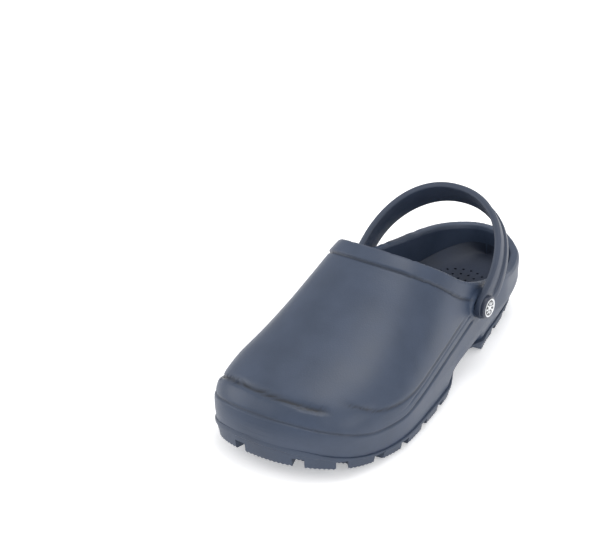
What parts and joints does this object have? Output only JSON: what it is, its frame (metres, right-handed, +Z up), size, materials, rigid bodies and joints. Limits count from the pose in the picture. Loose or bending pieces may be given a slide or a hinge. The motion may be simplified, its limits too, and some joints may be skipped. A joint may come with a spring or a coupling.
{
  "type": "garden clog",
  "caption": "Left rubber garden clog: closed toe, open low heel, lugged tread, loose footbed and a swinging heel strap held by two snap rivets.",
  "frame": {"origin": "on the ground, under the middle of the shoe's bounding box", "axes": "+Z up; +Y along the shoe towards the heel, so the toe points to -Y; +X towards the wearer's outer (little toe) side of this left shoe"},
  "size_m": [0.1217, 0.289, 0.104],
  "materials": {
    "upper_foam": "satin moulded foam rubber, slate navy",
    "tread_rubber": "satin moulded rubber, slate navy",
    "footbed_foam": "matte moulded foam, slate navy",
    "rivet_plastic": "satin moulded plastic, dark navy",
    "badge_metal": "satin silver plate"
  },
  "bodies": {
    "shoe": {"clog_shell": "upper_foam", "tread_sole": "tread_rubber", "insole": "footbed_foam", "rivet_button_lateral": "rivet_plastic", "rivet_button_medial": "rivet_plastic", "rivet_stud_lateral": "rivet_plastic", "rivet_stud_medial": "rivet_plastic", "rivet_badge_lateral": "badge_metal", "rivet_badge_medial": "badge_metal"},
    "strap": {"heel_strap": "upper_foam"}
  },
  "joints": [
    {"name": "strap_pivot", "type": "hinge", "parent": "shoe", "child": "strap", "pos_m": [0, 0.041, 0.0485], "axis": [-1, 0, 0], "range_deg": [-68, 12]}
  ]
}
